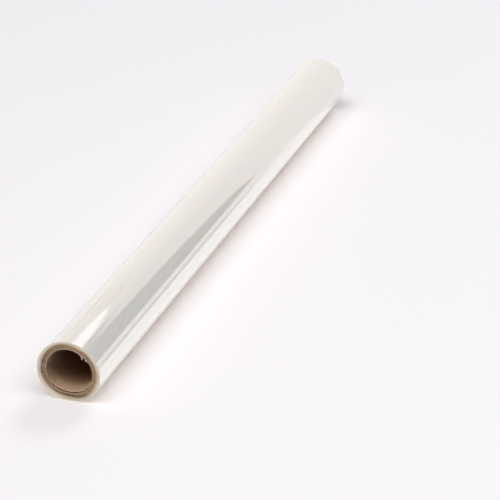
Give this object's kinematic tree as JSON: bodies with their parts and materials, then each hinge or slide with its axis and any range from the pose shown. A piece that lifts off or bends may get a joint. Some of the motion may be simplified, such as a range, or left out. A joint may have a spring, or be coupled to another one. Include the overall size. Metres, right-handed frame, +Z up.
{
  "type": "shrink wrap roll",
  "caption": "Roll of clear shrink film wound flush on a paperboard core, lying on a settled flat spot, with one end of the core worn.",
  "frame": {"origin": "on the surface the roll lies on, under the middle of the roll", "axes": "+Y along the core's axis from the worn end to the sound end, +Z up, +X to the right when looking along +Y"},
  "size_m": [0.054, 0.6604, 0.0518],
  "materials": {
    "core_board": "matte",
    "clear_film": "gloss"
  },
  "bodies": {
    "root": {"core_tube": "core_board", "film_roll": "clear_film"}
  },
  "joints": []
}
